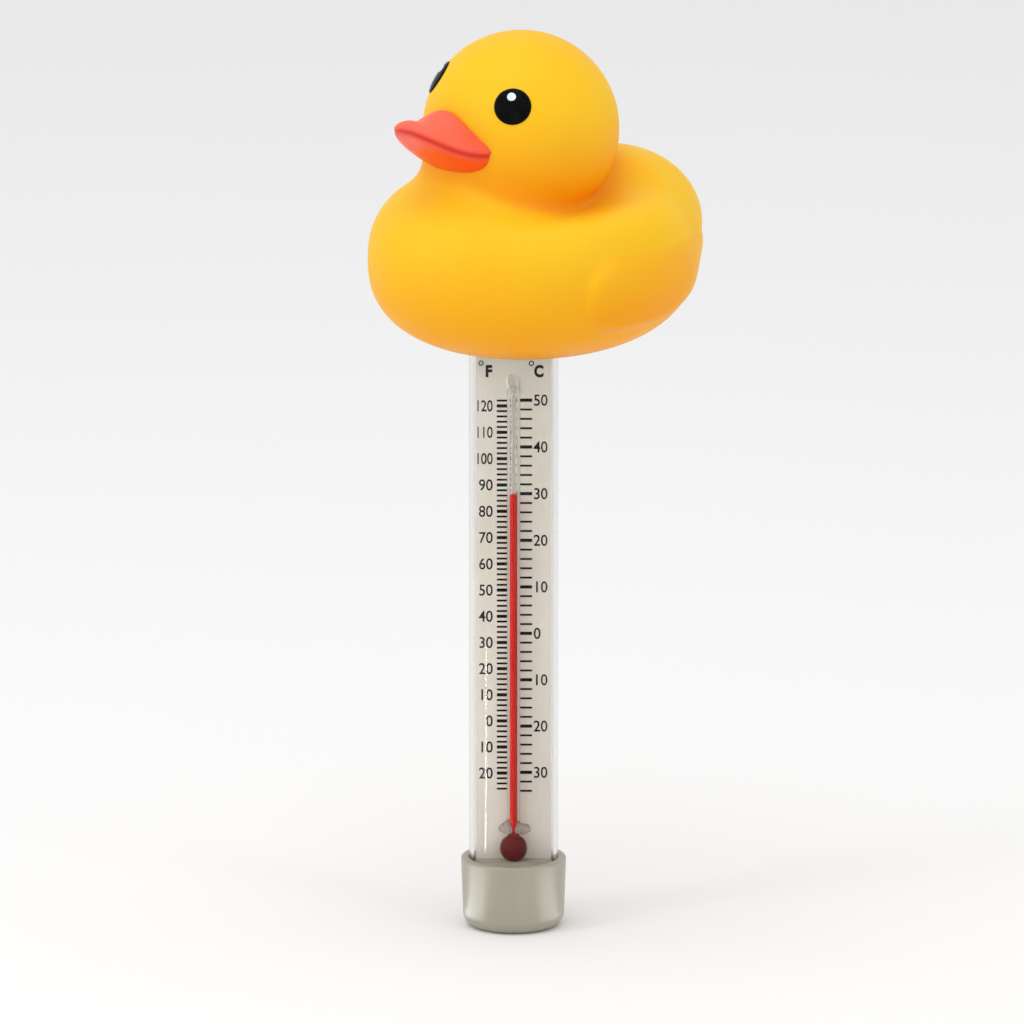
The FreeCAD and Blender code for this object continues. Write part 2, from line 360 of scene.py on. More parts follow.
# --- materials ------------------------------------------------------------------------------------
def vinyl_material():
    """Soft yellow vinyl: satin and slightly translucent, with painted shade low down, in the
    creases and at the foot.
    """
    n = Nodes("duck_vinyl")
    cloud = n.spread(n.noise(28, 2.0), 0.35, 0.65)
    upper = n.mix(cloud, (0.96, 0.51, 0.010, 1), (0.98, 0.55, 0.016, 1))
    # painted shade: deeper orange on the lower parts of the head, the body and the wings' relief
    base = n.mix(n.attribute("low"), upper, (0.93, 0.35, 0.003, 1))
    # painted shade: deeper orange in the crease under the head and along the wings' rims
    base = n.mix(n.attribute("crease_shade"), base, (0.93, 0.28, 0.004, 1))
    # painted shade: darker on the lowest few millimetres
    base = n.mix(n.attribute("foot"), base, (0.74, 0.26, 0.003, 1))
    grain = n.maths("MULTIPLY", n.noise(2600, 2.0), 0.12)
    height = n.maths("ADD", grain, n.noise(90, 3.0))
    n.shader(
        {
            "Base Color": base,
            "Roughness": n.spread(n.noise(140), 0.3, 0.7, 0.42, 0.54),
            "Subsurface Weight": 0.3,
            "Subsurface Radius": (1.0, 0.42, 0.08),
            "Subsurface Scale": 0.004,
            "Specular IOR Level": 0.14,
            "Normal": n.bump(height, 0.00012, 0.4),
        }
    )
    return n.material


def beak_material():
    """Coral-red paint on the bill, with painted shade: redder along the mouth groove and more
    orange below it.
    """
    n = Nodes("bill_paint")
    mouth = n.attribute("mouth")
    under = n.attribute("under")
    speck = n.spread(n.noise(60, 3.0), 0.35, 0.65)
    base = n.mix(speck, rgb(246, 96, 70), rgb(250, 110, 84))
    # painted shade: deeper orange on the lower mandible, under the upper one's overhang
    base = n.mix(under, base, rgb(244, 84, 26))
    # painted shade: darker red in the groove along the mouth
    base = n.mix(mouth, base, rgb(214, 40, 20))
    n.shader(
        {
            "Base Color": base,
            "Roughness": n.spread(n.noise(200), 0.3, 0.7, 0.32, 0.44),
            "Subsurface Weight": 0.2,
            "Subsurface Radius": (1.0, 0.2, 0.1),
            "Subsurface Scale": 0.002,
            "Specular IOR Level": 0.3,
            "Normal": n.bump(n.noise(700, 3.0), 0.0001, 0.4),
        }
    )
    return n.material


def eye_material(name, low, high, rough):
    """Glossy eye paint with faint brush-out."""
    n = Nodes(name)
    base = n.mix(n.spread(n.noise(400, 2.0), 0.3, 0.7), low, high)
    inputs = {
        "Base Color": base,
        "Roughness": n.spread(n.noise(900), 0.3, 0.7, rough, rough + 0.08),
        "Specular IOR Level": 0.03,
        "Normal": n.bump(n.noise(1500, 2.0), 0.00002, 0.4),
    }
    n.shader(inputs)
    return n.material


def tube_material():
    """Clear extruded plastic with faint draw lines along it."""
    n = Nodes("clear_tube_plastic")
    lines = n.noise(900, 2.0, 0.6, stretch=(1, 1, 0.01))
    inputs = {
        "Base Color": (0.87, 0.86, 0.845, 1),
        "Roughness": n.spread(n.noise(60, 3.0), 0.3, 0.7, 0.005, 0.03),
        "IOR": 1.3,
        "Specular Tint": (0.3, 0.3, 0.3, 1),
        "Transmission Weight": 1.0,
        "Normal": n.bump(lines, 0.00002, 0.25),
    }
    n.clear(inputs, (0.95, 0.955, 0.95, 1))
    return n.material


def glass_material():
    """Clear drawn glass."""
    n = Nodes("stem_glass")
    inputs = {
        "Base Color": (0.995, 0.997, 0.995, 1),
        "Roughness": n.spread(n.noise(300, 2.0), 0.3, 0.7, 0.0, 0.03),
        "IOR": 1.3,
        "Specular Tint": (0.4, 0.4, 0.4, 1),
        "Transmission Weight": 1.0,
        "Normal": n.bump(n.noise(500, 2.0, stretch=(1, 1, 0.05)), 0.00001, 0.2),
    }
    n.clear(inputs, (0.99, 0.99, 0.985, 1))
    return n.material


def clear_glue_material():
    """Set adhesive, full of small bubbles."""
    n = Nodes("neck_adhesive")
    cells = n.add("ShaderNodeTexVoronoi", {"Vector": n.place(), "Scale": 1800})
    bubbles = cells.outputs["Distance"]
    tone = n.spread(n.noise(900), 0.3, 0.7)
    inputs = {
        "Base Color": n.mix(tone, rgb(226, 206, 196), (1, 1, 1, 1)),
        "Roughness": n.spread(bubbles, 0.1, 0.6, 0.12, 0.02),
        "IOR": 1.45,
        "Transmission Weight": 0.88,
        "Normal": n.bump(bubbles, 0.00025, 0.8),
    }
    n.clear(inputs, (0.9, 0.88, 0.85, 1))
    return n.material


def card_material():
    """Beige plastic card, slightly uneven in tone, with a fine calendered grain."""
    n = Nodes("scale_card_plastic")
    base = n.mix(n.spread(n.noise(45, 4.0), 0.35, 0.65), rgb(232, 227, 216), rgb(238, 234, 225))
    fibre = n.noise(1400, 3.0, 0.6, stretch=(1, 1, 0.25))
    base = n.mix(n.spread(fibre, 0.45, 0.75, 0.0, 0.35), base, rgb(221, 214, 201))
    inputs = {
        "Base Color": base,
        "Roughness": n.spread(n.noise(300), 0.3, 0.7, 0.42, 0.55),
        "Subsurface Weight": 0.1,
        "Subsurface Scale": 0.001,
        "Specular IOR Level": 0.15,
        "Normal": n.bump(fibre, 0.00004, 0.4),
    }
    n.shader(inputs)
    return n.material


def ink_material():
    """Black print, slightly uneven in cover."""
    n = Nodes("scale_ink")
    full, thin = (0.002, 0.002, 0.002, 1), (0.012, 0.011, 0.010, 1)
    base = n.mix(n.spread(n.noise(2500, 2.0), 0.4, 0.75), full, thin)
    inputs = {
        "Base Color": base,
        "Roughness": n.spread(n.noise(1500), 0.3, 0.7, 0.4, 0.6),
        "Specular IOR Level": 0.1,
        "Normal": n.bump(n.noise(4000, 2.0), 0.00001, 0.4),
    }
    n.shader(inputs)
    return n.material


def spirit_material():
    """Red-dyed spirit: bright in the thin column and dark in the bulb."""
    n = Nodes("red_spirit")
    xyz = n.add("ShaderNodeSeparateXYZ", {"Vector": n.place()})
    depth = n.spread(xyz.outputs["Z"], (BULB_Z + 0.9 * BULB_R) * MM, (NECK_Z + 0.6) * MM)
    tone = n.spread(n.noise(500, 2.0, stretch=(1, 1, 0.2)), 0.3, 0.7)
    bright = n.mix(tone, rgb(214, 26, 14), rgb(226, 36, 22))
    base = n.mix(depth, rgb(112, 2, 5), bright)
    inputs = {
        "Base Color": base,
        "Roughness": n.spread(n.noise(700), 0.3, 0.7, 0.12, 0.2),
        "Subsurface Weight": 0.15,
        "Subsurface Radius": (1.0, 0.1, 0.05),
        "Subsurface Scale": 0.0006,
        "Specular IOR Level": 0.15,
    }
    n.shader(inputs)
    return n.material


def cap_material():
    """Grey-beige satin plastic with faint moulding streaks."""
    n = Nodes("cap_plastic")
    streak = n.noise(110, 4.0, 0.55, stretch=(1, 1, 0.35))
    base = n.mix(n.spread(streak, 0.1, 0.9), rgb(150, 146, 129), rgb(168, 163, 147))
    inputs = {
        "Base Color": base,
        "Roughness": n.spread(n.noise(90, 2.0), 0.1, 0.9, 0.29, 0.37),
        "Specular IOR Level": 0.55,
        "Normal": n.bump(n.noise(1800, 2.0), 0.00001, 0.3),
    }
    n.shader(inputs)
    return n.material


def plain_material(name, low, high, rough, grain, metallic=0.0, bump=0.00005):
    """Two-tone material with grain, for the pieces inside."""
    n = Nodes(name)
    inputs = {
        "Base Color": n.mix(n.spread(n.noise(grain, 4.0), 0.35, 0.65), low, high),
        "Roughness": n.spread(n.noise(grain * 2, 3.0), 0.3, 0.7, rough, rough + 0.12),
        "Metallic": metallic,
        "Normal": n.bump(n.noise(grain * 4, 3.0), bump, 0.5),
    }
    n.shader(inputs)
    return n.material


# --- the duck -------------------------------------------------------------------------------------
DUCK_HEADING = 41.0  # degrees the bill is turned from -X towards the reader
DUCK_BASE = SHELL_LO.z
VINYL_WALL = 1.5
SKIN_MARGIN = 0.03
COLLAR_GAP = 0.08
COLLAR_WALL = 1.9
OPENING_R = TUBE_R + COLLAR_GAP + COLLAR_WALL
OPENING_TOP = 159.0
BODY_RADII = (41.5, 36.5, 23.5)
BODY_CENTRE = (-6.0, 0.0, DUCK_BASE + BODY_RADII[2])
BODY_POWER = 2.42
TAIL_CENTRE = (-34.3, 0.0, DUCK_BASE + 31.2)
TAIL_RADII = (16.6, 20.2, 14.7)
TAIL_PITCH = -11.0
TAIL_FILLET = 8.0
WING_TOP = DUCK_BASE + 29.4
WING_BOTTOM = DUCK_BASE + 9.9
WING_FRONT = 71.0  # bearings from the duck's bow, in degrees
WING_BACK = 151.0
WING_CORNER = 9.0
WING_TAPER = 0.25  # how much lower the wing is at its back than in front, as a share
WING_EDGE = (-0.4, 2.1)  # the relief rises between these distances inside the outline
WING_RISE = (1.9, 0.65)  # how far the relief stands out at its front and at its tip
DIP_FILLET = 6.0
DIP_Z = DUCK_BASE + 48.4
DIPS = (  # centre and radii of the dips beside the head, the duck's left first
    ((1, 20, DIP_Z), (29, 17, 11.5)),
    ((-3, -20, DIP_Z + 4), (26, 17, 11.5)),
)
HEAD_R = 23.5
HEAD_CENTRE = (-2.35, 0.0, SHELL_HI.z - HEAD_R)
NECK_FILLET = 2.5  # behind the head
NECK_FILLET_MORE = 8.0  # added to it in front
DUCK_VOXEL = 0.74  # keeps the duck's mesh under 200,000 triangles


def wing_rise(p):
    """How far the moulded wings stand out of the body's side."""
    x, y, z = p
    rx, ry, _ = BODY_RADII
    bearing = np.degrees(np.arctan2(np.abs(y) / ry, (x - BODY_CENTRE[0]) / rx))
    girth = math.radians(1) * (rx + ry) / 2
    half_length = (WING_BACK - WING_FRONT) / 2 * girth
    half_height = (WING_TOP - WING_BOTTOM) / 2
    along = (bearing - (WING_FRONT + WING_BACK) / 2) * girth
    taper = 1 - WING_TAPER * ramp(along, -0.2 * half_length, half_length)
    middle = WING_TOP - half_height * taper
    u = np.abs(along) - half_length + WING_CORNER
    v = np.abs(z - middle) / taper - half_height + WING_CORNER
    outside = np.hypot(np.maximum(u, 0), np.maximum(v, 0))
    inside = outside + np.minimum(np.maximum(u, v), 0) - WING_CORNER
    rise = WING_RISE[0] + (WING_RISE[1] - WING_RISE[0]) * ramp(bearing, WING_FRONT, WING_BACK - 15)
    return rise * ramp(-inside, *WING_EDGE)


def duck_parts(p):
    """Body with its tail and wings, and head, as two fields."""
    body = pebble(p, BODY_CENTRE, BODY_RADII, BODY_POWER)
    tail = ellipsoid(p, TAIL_CENTRE, TAIL_RADII, TAIL_PITCH)
    body = blend_union(body, tail, TAIL_FILLET)
    body = body - wing_rise(p)
    for centre, radii in DIPS:
        body = blend_cut(body, ellipsoid(p, centre, radii), DIP_FILLET)
    head = ellipsoid(p, HEAD_CENTRE, (HEAD_R, HEAD_R, HEAD_R))
    return body, head


def duck_skin(p):
    """The outer surface, with a fillet at the neck that is wide in front and narrow behind."""
    body, head = duck_parts(p)
    fillet = NECK_FILLET + NECK_FILLET_MORE * ramp(p[0], -12, 16)
    return blend_union(body, head, fillet) + SKIN_MARGIN


def duck_shell(p):
    """Hollow skin with the round opening for the collar."""
    x, y, z = p
    skin = duck_skin(p)
    wall = np.maximum(skin, -(skin + VINYL_WALL))
    opening = np.maximum(np.sqrt(x * x + y * y) - OPENING_R, z - OPENING_TOP)
    return np.maximum(wall, -opening)


def turn_to_row(obj):
    """From the duck's frame (+X forward, +Y to its left) to the row frame."""
    obj.data.transform(Matrix.Rotation(math.radians(180 + DUCK_HEADING), 4, "Z"))
    return obj


def write_attribute(obj, name, values):
    attribute = obj.data.attributes.new(name, "FLOAT", "POINT")
    attribute.data.foreach_set("value", np.asarray(values, np.float32))


def make_duck():
    grid_low = (-53, -39, DUCK_BASE - 1.5)
    grid_high = (38, 39, SHELL_HI.z + 1.5)
    obj, points = field_mesh("duck_float", duck_shell, grid_low, grid_high, DUCK_VOXEL)
    relax(obj, 3)
    p = tuple(points.T)
    body, head = duck_parts(p)
    # painted shade in the crease under the head, and along the rim of the wings where it faces
    # sideways
    crease = np.exp(-((np.abs(body - head) / 4.0) ** 1.5)) * ramp(-p[0], -30, 0)
    relief = wing_rise(p) / WING_RISE[0]
    wing_rim_shade = 4 * relief * (1 - relief) * ramp(-p[0], -8, 2) * ramp(p[0], -42, -30)
    write_attribute(obj, "crease_shade", np.maximum(0.75 * crease, 0.3 * wing_rim_shade))
    # low: painted shade, deeper orange on the lower part of the head and of the body, and of the
    # wings' relief
    height = points[:, 2] - DUCK_BASE
    on_head = ramp(body - head, -3, 3)
    low = on_head * ramp(-height, -66, -40) + (1 - on_head) * ramp(-height, -36, -2)
    write_attribute(obj, "low", np.minimum(low + 0.35 * relief * ramp(-height, -27, -12), 1))
    # foot: painted shade, darker on the lowest few millimetres
    write_attribute(obj, "foot", ramp(-height, -7, 0))
    turn_to_row(obj)
    paint(obj, vinyl_material())
    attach(obj, "float")
    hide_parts("float_shell")


BILL_ROOT_X = 15  # the bill's outline narrows ahead of this
BILL_POWER = 2.3  # of the outline, a superellipse in plan
BILL_VOXEL = 0.25
UPPER_REACH, UPPER_HALF = 19.3, 12.7  # length ahead of the root, and half width
LOWER_REACH, LOWER_HALF = 19.2, 12.0
ROOF_REACH, ROOF_HALF = 20.2, 12.9
CROWN_RISE = 5.6  # the ridge's height over the head's centre
LOWER_DEPTH = 7.2
BILL_SINK = 0.6  # how deep the bill's root goes into the head


def mouth_height(x):
    """Height of the mouth line along the bill, which turns up towards the tip."""
    return HEAD_CENTRE[2] - 2.3 + 7.0 * (np.maximum(x - 17, 0) / 18) ** 2


def bill_plan(ahead, y, reach, half_width):
    """Is 1 on the outline in plan, and less inside it."""
    powers = (ahead / reach) ** BILL_POWER + (np.abs(y) / half_width) ** BILL_POWER
    return powers ** (1 / BILL_POWER)


def beak_fields(p):
    """Upper mandible, a flared roof with a hump at its root, and the lower one tucked under it."""
    x, y, z = p
    ahead = np.maximum(x - BILL_ROOT_X, 0)
    mouth = mouth_height(x)
    plan = bill_plan(ahead, y, UPPER_REACH, UPPER_HALF)
    # the ridge along the top: a hump at the root and a lift at the tip
    crown = HEAD_CENTRE[2] + CROWN_RISE + 2.0 * ramp(-x, -28.5, -22.5)
    crown = crown + 1.0 * ramp(x, 28, 34) - 1.5 * ramp(-x, -22.5, -18)
    narrowing = np.maximum(1 - (ahead / ROOF_REACH) ** BILL_POWER, 0.02) ** (1 / BILL_POWER)
    across = np.abs(y) / (ROOF_HALF * narrowing)
    roof = mouth + 1.0 + (crown - mouth - 1.0) * (1 - np.clip(across, 0, 1) ** 1.55)
    upper = np.maximum(z - roof, mouth - z) * 0.8
    upper = -blend_union(-upper, (1 - plan) * 11, 1.6)
    plan_low = bill_plan(ahead, y, LOWER_REACH, LOWER_HALF)
    depth = LOWER_DEPTH * (1 - 0.75 * np.clip(ahead / 20, 0, 1))
    depth = depth * np.sqrt(np.clip(1 - plan_low**BILL_POWER, 0, 1))
    lower = np.maximum(mouth - depth - z, z - mouth - 0.4) * 0.8
    lower = -blend_union(-lower, (1 - plan_low) * 11, 0.8)
    return upper, lower


def beak_field(p):
    upper, lower = beak_fields(p)
    x, y, z = p
    head = np.sqrt((x - HEAD_CENTRE[0]) ** 2 + y * y + (z - HEAD_CENTRE[2]) ** 2) - HEAD_R
    return np.maximum(blend_union(upper, lower, 0.35), -(head + BILL_SINK))


def make_beak():
    hz = HEAD_CENTRE[2]
    grid_low, grid_high = (8, -15, hz - 12), (38, 15, hz + 14)
    obj, points = field_mesh("beak", beak_field, grid_low, grid_high, BILL_VOXEL)
    relax(obj, 3)
    above = points[:, 2] - mouth_height(points[:, 0])
    # painted shade: darker red along the mouth groove, and deeper orange under the upper mandible
    write_attribute(obj, "mouth", np.exp(-(((above + 0.1) / 0.8) ** 2)))
    write_attribute(obj, "under", ramp(-above, 0.3, 2.0))
    turn_to_row(obj)
    paint(obj, beak_material())
    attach(obj, "float")
    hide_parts("beak")


EYES = {"left": (43.6, 23.8), "right": (-40.5, 32.5)}  # bearing and latitude, in degrees
EYE_R = 4.45
GLINT_R = 1.05


def eye_normal(word, lift=0.0, ahead=0.0):
    """Direction from the head's centre to an eye, or to a spot a little above and ahead of it."""
    b, a = (math.radians(angle) for angle in EYES[word])
    n = Vector((math.cos(a) * math.cos(b) + ahead, math.cos(a) * math.sin(b), math.sin(a) + lift))
    return n.normalized()


def pad(name, normal, radius, sink, base, dome, segments=64, rings=14):
    """Round pad on the head: its foot is sunk into the skin and its face is domed."""
    u = normal.orthogonal().normalized()
    v = normal.cross(u)
    centre = Vector(HEAD_CENTRE)
    verts, loops = [], []

    def loop(r, height):
        swing = r / HEAD_R
        start = len(verts)
        for i in range(segments if r > 1e-6 else 1):
            a = 2 * math.pi * i / segments
            out = normal * math.cos(swing) + (u * math.cos(a) + v * math.sin(a)) * math.sin(swing)
            verts.append(centre + out * (HEAD_R + height))
        loops.append(list(range(start, len(verts))))

    loop(0, -sink)
    loop(radius * 0.97, -sink)
    for i in range(rings + 1):
        t = math.pi / 2 * i / rings
        loop(radius * math.cos(t), base + dome * math.sin(t) ** 0.7)
    faces = []
    for lower, upper in zip(loops, loops[1:]):
        for i in range(segments):
            j = (i + 1) % segments
            a = [lower[i % len(lower)], lower[j % len(lower)]]
            b = [upper[j % len(upper)], upper[i % len(upper)]]
            faces.append(without_repeats(a + b))
    return turn_to_row(new_object(name, verts, faces))


def make_eyes():
    black = eye_material("eye_paint", (0.003, 0.003, 0.003, 1), (0.007, 0.006, 0.006, 1), 0.12)
    white = eye_material("glint_paint", rgb(214, 220, 240), rgb(240, 243, 252), 0.2)
    for word in EYES:
        eye = pad(f"{word}_eye", eye_normal(word), EYE_R, sink=0.25, base=0.02, dome=0.42)
        paint(eye, black)
        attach(eye, "float")
        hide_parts(f"{word}_eye")
        spot = eye_normal(word, lift=0.115, ahead=0.02)
        glint = pad(f"{word}_eye_glint", spot, GLINT_R, -0.25, 0.38, 0.1, segments=32, rings=6)
        paint(glint, white)
        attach(glint, "float")
        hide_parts(f"{word}_eye_glint")


# --- cap and tube ---------------------------------------------------------------------------------
CAP_FOOT_R = CAP_HI.x - 0.45  # the side's radius at the foot, less than at the rim
FOOT_ROUND = 3.3
RIM_ROUND = 0.6
MOUTH_ROUND = 0.3
SOCKET_R = TUBE_R + 0.05
SHOULDER_Z = 8.0  # the tube stands here
CAP_FLOOR_Z = 1.8
TUBE_CHAMFER = 0.15


def make_cap():
    rim_r, top = CAP_HI.x, CAP_HI.z
    pocket_r = TUBE_R - TUBE_WALL
    profile = [(0, 0)]
    profile += arc(CAP_FOOT_R - FOOT_ROUND, FOOT_ROUND, FOOT_ROUND, -90, -2, 14)
    profile += arc(rim_r - RIM_ROUND, top - RIM_ROUND, RIM_ROUND, 0, 90, 8)
    profile += arc(SOCKET_R + MOUTH_ROUND, top - MOUTH_ROUND, MOUTH_ROUND, 90, 180, 5)
    profile += [(SOCKET_R, SHOULDER_Z), (pocket_r, SHOULDER_Z)]
    profile += [(pocket_r, CAP_FLOOR_Z), (0, CAP_FLOOR_Z)]
    obj = lathe("end_cap", profile, 160)
    paint(obj, cap_material())
    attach(obj, "stem")
    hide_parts("lower_cap")


def make_tube():
    inner = TUBE_R - TUBE_WALL
    low, high = TUBE_LO.z, TUBE_HI.z
    edge = TUBE_CHAMFER
    profile = [(inner, low + edge), (inner + edge, low), (TUBE_R - edge, low), (TUBE_R, low + edge)]
    profile += [(TUBE_R, high - edge), (TUBE_R - edge, high)]
    profile += [(inner + edge, high), (inner, high - edge)]
    obj = lathe("tube", profile, 192)
    paint(obj, tube_material())
    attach(obj, "stem")
    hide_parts("clear_tube")


# --- card and its print ---------------------------------------------------------------------------
HOLE_R = 3.1
CARD_CORNER = 2.0


def make_card():
    """Strip with round corners and a hole for the bulb."""
    outer = round_rectangle(CARD_LO.x, CARD_HI.x, CARD_LO.z, CARD_HI.z, CARD_CORNER, 10)
    hole = arc((CARD_LO.x + CARD_HI.x) / 2, BULB_Z, HOLE_R, 0, 360, 48)[:-1]
    bm = bmesh.new()
    loops = []
    for ring in (outer, hole):
        verts = [bm.verts.new((x * MM, CARD_FRONT * MM, z * MM)) for x, z in ring]
        loops += [bm.edges.new((a, b)) for a, b in zip(verts, verts[1:] + verts[:1])]
    bmesh.ops.triangle_fill(bm, edges=loops, use_beauty=True)
    depth = (CARD_HI.y - CARD_LO.y) * MM
    made = bmesh.ops.extrude_face_region(bm, geom=bm.faces[:])
    moved = [g for g in made["geom"] if isinstance(g, bmesh.types.BMVert)]
    bmesh.ops.translate(bm, verts=moved, vec=(0, depth, 0))
    bmesh.ops.recalc_face_normals(bm, faces=bm.faces)
    obj = place_bmesh("card", bm, "scale_card")
    paint(obj, card_material())
    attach(obj, "stem")
    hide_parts("scale_card")


INK = 0.02  # the print's thickness
ZERO_C_Z = 71.80
MM_PER_C = 1.1496
ZERO_F_Z = 50.10
MM_PER_F = 0.6481
F_TICKS = (-4.06, -1.44)
C_TICKS = (1.49, 4.46)
F_FIGURES_X = -5.04
C_FIGURES_X = (4.87, 8.25)  # left edge of the zero, right edge of the others
FIGURE_H = 2.8
THICK_HALF = 0.40
THIN_HALF = 0.25
UNIT_Z = 136.4  # middle of the unit letters


def slab(bm, x0, x1, z0, z1, corner=0.06):
    """One printed bar with small round corners, proud of the card by the ink's thickness."""
    outline = round_rectangle(x0, x1, z0, z1, corner, 3)
    front = [bm.verts.new((x * MM, (CARD_FRONT - INK) * MM, z * MM)) for x, z in outline]
    back = [bm.verts.new((x * MM, (CARD_FRONT + INK / 2) * MM, z * MM)) for x, z in outline]
    bm.faces.new(front)
    bm.faces.new(back[::-1])
    for i in range(len(outline)):
        j = (i + 1) % len(outline)
        bm.faces.new((front[i], back[i], back[j], front[j]))


def make_ticks(name, span, first, last, zero, step, material):
    """Marks at every second degree, thick at every tenth."""
    bm = bmesh.new()
    for degree in range(first, last + 1, 2):
        z = zero + degree * step
        half = THICK_HALF if degree % 10 == 0 else THIN_HALF
        slab(bm, span[0], span[1], z - half, z + half)
    bmesh.ops.recalc_face_normals(bm, faces=bm.faces)
    obj = place_bmesh(name, bm)
    paint(obj, material)
    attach(obj, "stem")


def text_mesh(text, height, narrow, weight):
    """Letters as thick as the ink, standing in the XZ plane.

    Their box's left foot is at the origin. Returns the mesh and its width, in millimetres.
    """
    curve = bpy.data.curves.new("letters", "FONT")
    curve.body = text
    curve.size = 1.0
    curve.extrude = 0.01
    curve.offset = weight
    curve.resolution_u = 6
    holder = bpy.data.objects.new("letters", curve)
    bpy.context.scene.collection.objects.link(holder)
    bpy.context.view_layer.update()
    graph = bpy.context.evaluated_depsgraph_get()
    mesh = bpy.data.meshes.new_from_object(holder.evaluated_get(graph))
    bpy.data.objects.remove(holder)
    bpy.data.curves.remove(curve)
    co = np.array([v.co for v in mesh.vertices])
    low, high = co.min(0), co.max(0)
    scale = height / (high[1] - low[1])
    flat = np.zeros_like(co)
    flat[:, 0] = (co[:, 0] - low[0]) * scale * narrow
    flat[:, 2] = (co[:, 1] - low[1]) * scale
    flat[:, 1] = -(co[:, 2] - low[2]) / (high[2] - low[2]) * INK * 1.5 + INK / 2
    mesh.vertices.foreach_set("co", flat.astype(np.float32).ravel())
    return mesh, flat[:, 0].max()


def letters(name, items, material):
    """One piece from (text, x, z, height, narrow, weight, anchor) items; z is the middle."""
    bm = bmesh.new()
    for text, x, z, height, narrow, weight, anchor in items:
        mesh, width = text_mesh(text, height, narrow, weight)
        left = x - width if anchor == "right" else x
        mesh.transform(Matrix.Translation((left, CARD_FRONT, z - height / 2)))
        bm.from_mesh(mesh)
        bpy.data.meshes.remove(mesh)
    bmesh.ops.remove_doubles(bm, verts=bm.verts, dist=1e-5)
    bmesh.ops.recalc_face_normals(bm, faces=bm.faces)
    bmesh.ops.scale(bm, vec=(MM, MM, MM), verts=bm.verts)
    obj = place_bmesh(name, bm)
    paint(obj, material)
    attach(obj, "stem")


def make_degree_ring(name, x, z, material):
    """The small ring of a degree sign."""
    outer, inner = 0.65, 0.38
    front, back = CARD_FRONT - INK, CARD_FRONT + INK / 2
    profile = [(inner, front), (outer, front), (outer, back), (inner, back)]
    obj = lathe(name, profile, 40)
    # the lathe's axis is Z: lay it along Y, at the sign's place
    lay = Matrix(((1, 0, 0, x * MM), (0, 0, 1, 0), (0, -1, 0, z * MM), (0, 0, 0, 1)))
    obj.data.transform(lay)
    paint(obj, material)
    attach(obj, "stem")


def make_print():
    """Both scales: marks, figures without minus signs, unit letters and degree signs."""
    ink = ink_material()
    make_ticks("fahrenheit_marks", F_TICKS, -26, 122, ZERO_F_Z, MM_PER_F, ink)
    make_ticks("celsius_marks", C_TICKS, -34, 50, ZERO_C_Z, MM_PER_C, ink)
    items = []
    for degree in range(-20, 121, 10):
        z = ZERO_F_Z + degree * MM_PER_F
        narrow = 0.76 if degree >= 100 else 0.92
        items.append((str(abs(degree)), F_FIGURES_X, z, FIGURE_H, narrow, 0.012, "right"))
    letters("fahrenheit_figures", items, ink)
    items = []
    for degree in range(-30, 51, 10):
        z = ZERO_C_Z + degree * MM_PER_C
        anchor, x = ("left", C_FIGURES_X[0]) if degree == 0 else ("right", C_FIGURES_X[1])
        items.append((str(abs(degree)), x, z, FIGURE_H, 0.92, 0.012, anchor))
    letters("celsius_figures", items, ink)
    items = [  # text, left edge, middle, height, narrowing, weight, anchor
        ("F", -6.75, UNIT_Z, 3.0, 0.9, 0.05, "left"),
        ("C", 4.95, UNIT_Z, 3.1, 0.82, 0.05, "left"),
    ]
    letters("unit_letters", items, ink)
    make_degree_ring("fahrenheit_degree_ring", -7.9, UNIT_Z + 1.95, ink)
    make_degree_ring("celsius_degree_ring", 4.28, UNIT_Z + 1.9, ink)


# --- stem, spirit and glue ------------------------------------------------------------------------
def bulb_outline(radius, neck_r, tube_r, steps=8):
    """Half outline from the bulb's foot through the neck to the start of the capillary."""
    join_r = (radius + 3 * neck_r) / 4
    join = 90 - math.degrees(math.asin(join_r / radius))
    points = arc(0, BULB_Z, radius, -90, join, 36)
    start_r, start_z = points[-1]
    for i in range(1, steps + 1):
        t = i / steps
        narrowing = 1 - (1 - t) ** 2
        r = start_r + (neck_r - start_r) * narrowing
        points.append((r, start_z + (NECK_Z - start_z) * t))
    for i in range(1, steps + 1):
        t = i / steps
        swell = t * t * (3 - 2 * t)
        points.append((neck_r + (tube_r - neck_r) * swell, NECK_Z + (STEM_START_Z - NECK_Z) * t))
    return points


def bore_outline(grow):
    """Half outline of the space inside the glass, up to the capillary's start.

    It is larger all round by grow.
    """
    return bulb_outline(BULB_R - BULB_WALL + grow, NECK_BORE_R + grow, BORE_R + grow)


def make_stem():
    """Glass with its bulb, neck and bore; glass and bore both end round at the top."""
    outer = bulb_outline(BULB_R, NECK_R, STEM_R)
    outer += arc(0, STEM_HI.z - STEM_R, STEM_R, 0, 90, 8)
    inner = bore_outline(0) + arc(0, STEM_HI.z - STEM_R - BORE_R, BORE_R, 0, 90, 8)
    obj = lathe("thermometer_glass", outer, 64)
    hollow = lathe("bore", inner, 48)
    hollow.data.flip_normals()
    bm = bmesh.new()
    bm.from_mesh(obj.data)
    bm.from_mesh(hollow.data)
    bm.to_mesh(obj.data)
    bm.free()
    bpy.data.objects.remove(hollow)
    paint(obj, glass_material())
    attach(obj, "stem")
    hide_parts("glass_stem")


def make_spirit():
    """Bulb and column in one piece, so that the column grows out of the neck as the level moves."""
    column_r = BORE_R + WETTING
    rise = 0.25
    meniscus = []
    for a in np.linspace(0, math.pi / 2, 7):
        meniscus.append((column_r * math.cos(a), LEVEL_Z - rise + rise * math.sin(a)))
    meniscus[-1] = (0, LEVEL_Z)
    obj = lathe("spirit", bore_outline(WETTING) + meniscus, 48)
    paint(obj, spirit_material())
    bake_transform(obj)
    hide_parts("spirit_column", "spirit_bulb")


GLUE_GAP = 0.02  # clearance between the glue and the glass
GLUE_RIPPLE = 0.05
GLUE_FILLET = 0.7
NECK_GLUE_VOXEL = 0.12
TIP_GLUE_VOXEL = 0.14


